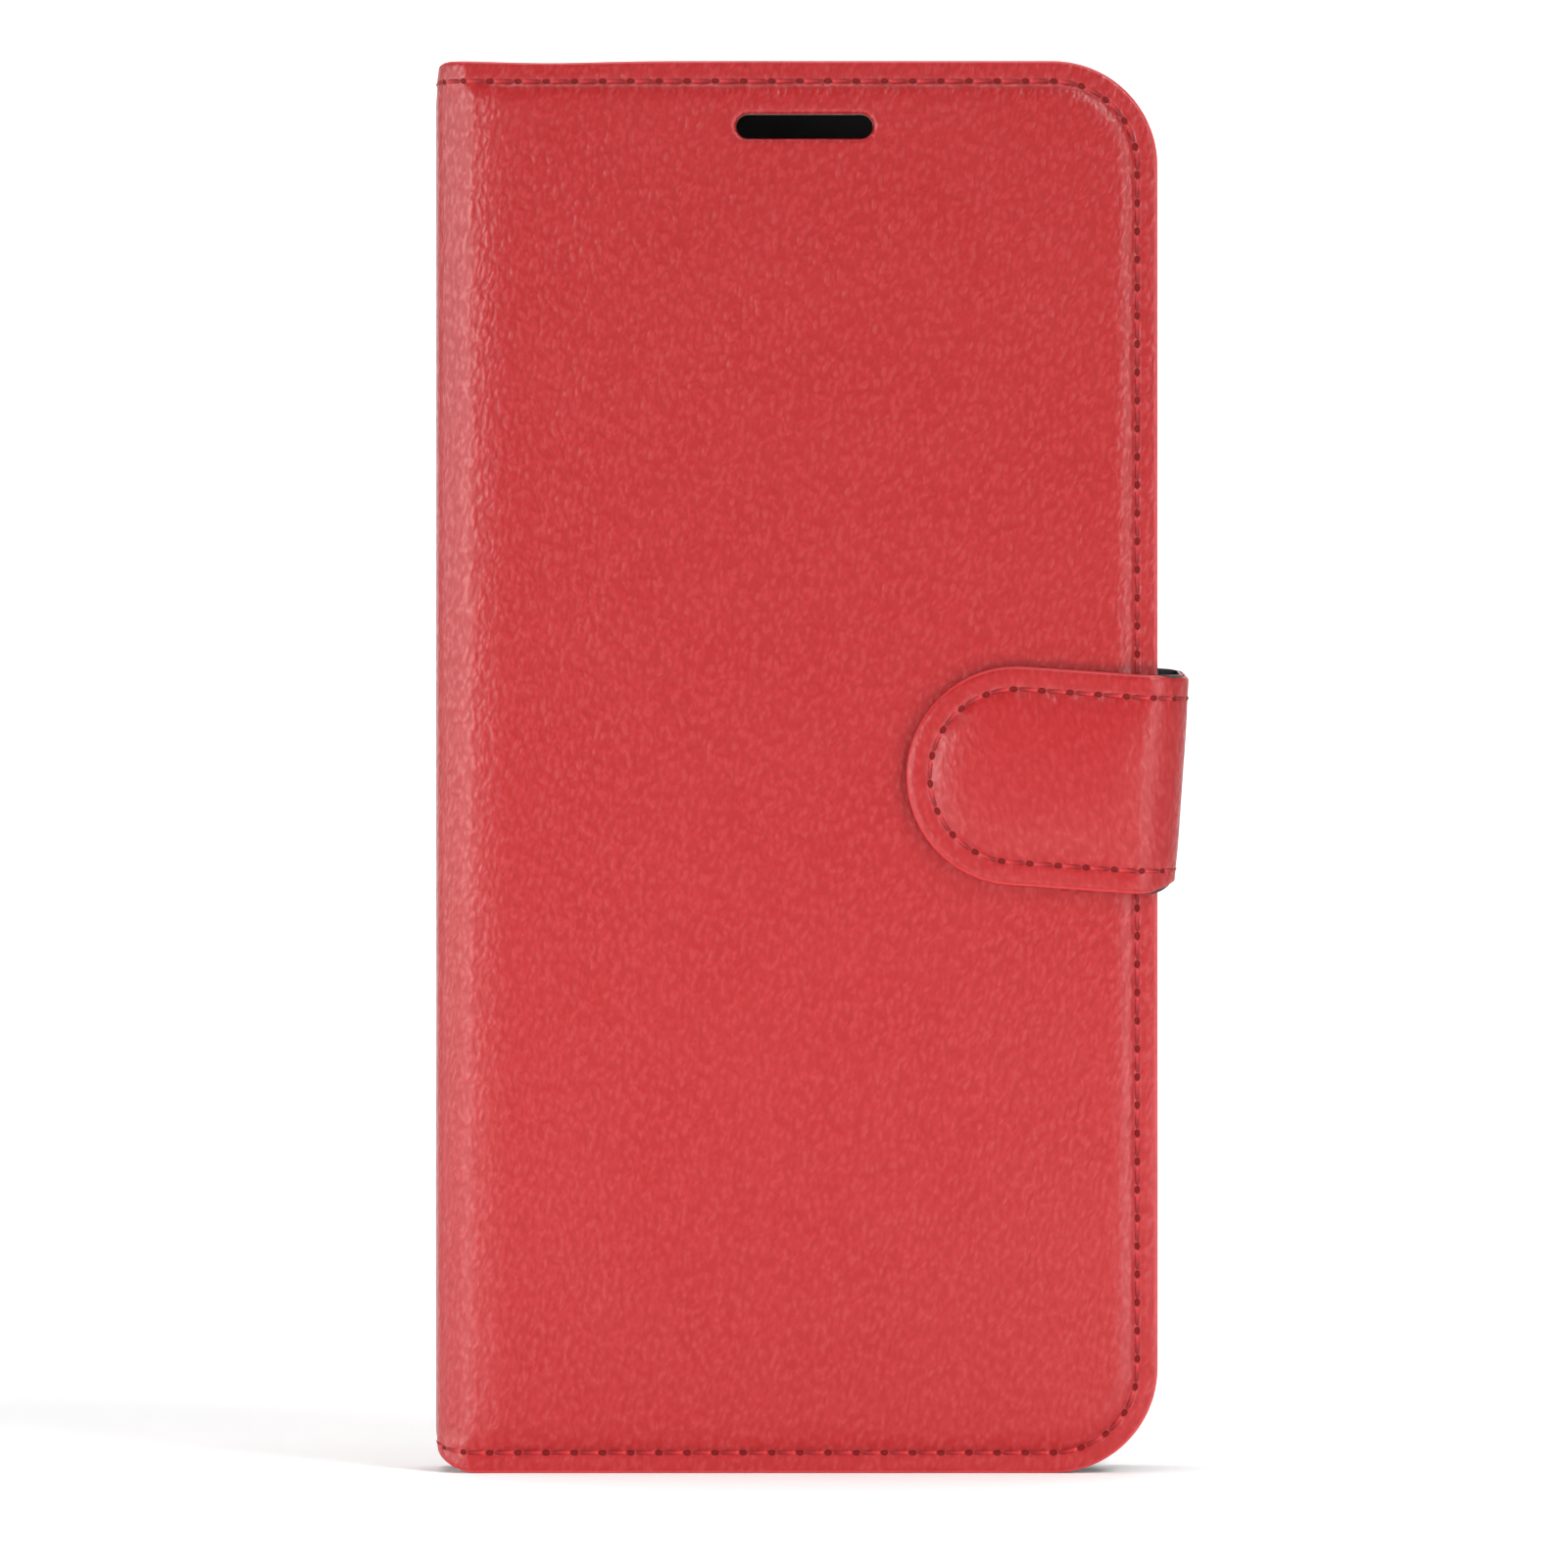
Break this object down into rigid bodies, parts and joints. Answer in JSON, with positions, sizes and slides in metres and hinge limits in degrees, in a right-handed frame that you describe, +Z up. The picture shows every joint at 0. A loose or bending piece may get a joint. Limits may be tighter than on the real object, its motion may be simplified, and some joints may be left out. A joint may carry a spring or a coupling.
{
  "type": "phone wallet case",
  "caption": "Folding leather wallet case that holds a phone in a moulded shell, with card pockets and a magnetic strap.",
  "frame": {"origin": "middle of the closed case's bottom, including the strap", "axes": "+Z up the case's height, +Y from the front cover to the back cover, +X from the spine to the free edge"},
  "size_m": [0.0884, 0.02, 0.165],
  "materials": {
    "leather": "satin",
    "lining": "matte",
    "thread": "matte",
    "board": "matte",
    "shell": "satin",
    "magnet": "satin",
    "core": "matte"
  },
  "bodies": {
    "back_cover": {"back_leather": "leather", "back_board": "board", "back_lining": "lining", "back_stitching": "thread", "phone_shell": "shell", "strap_root_leather": "leather", "strap_root_lining": "lining"},
    "spine": {"spine_leather": "leather", "spine_board": "board", "spine_lining": "lining", "spine_stitching": "thread", "rear_fold_leather": "leather", "rear_fold_lining": "lining", "front_fold_leather": "leather", "front_fold_lining": "lining"},
    "front_cover": {"front_leather": "leather", "front_board": "board", "front_lining": "lining", "front_stitching": "thread", "cover_magnet": "magnet", "cash_pocket_panel": "leather", "card_pocket_1": "leather", "card_pocket_2": "leather", "card_pocket_3": "leather", "pocket_stitching": "thread"},
    "strap_bridge": {"strap_bridge_leather": "leather", "strap_bridge_lining": "lining", "strap_bridge_stitching": "thread", "strap_rear_fold_leather": "leather", "strap_rear_fold_lining": "lining", "strap_front_fold_leather": "leather", "strap_front_fold_lining": "lining"},
    "strap_tongue": {"strap_tongue_leather": "leather", "strap_tongue_core": "core", "strap_magnet": "magnet", "strap_tongue_lining": "lining", "strap_tongue_stitching": "thread"}
  },
  "joints": [
    {"name": "spine_hinge", "type": "hinge", "parent": "back_cover", "child": "spine", "pos_m": [-0.04319, 0.00905, 0.0825], "axis": [0, 0, -1], "range_deg": [0, 178], "deforming": ["rear_fold_leather", "rear_fold_lining"]},
    {"name": "cover_hinge", "type": "hinge", "parent": "spine", "child": "front_cover", "pos_m": [-0.04319, -0.00625, 0.0825], "axis": [0, 0, -1], "range_deg": [0, 178], "deforming": ["front_fold_leather", "front_fold_lining"]},
    {"name": "strap_root_hinge", "type": "hinge", "parent": "back_cover", "child": "strap_bridge", "pos_m": [0.04287, 0.00882, 0.08012], "axis": [0.0698, 0, 0.9976], "range_deg": [0, 150], "deforming": ["strap_rear_fold_leather", "strap_rear_fold_lining"]},
    {"name": "strap_tongue_hinge", "type": "hinge", "parent": "strap_bridge", "child": "strap_tongue", "pos_m": [0.04214, -0.00889, 0.08017], "axis": [0.0698, 0, 0.9976], "range_deg": [0, 90], "deforming": ["strap_front_fold_leather", "strap_front_fold_lining"]}
  ]
}
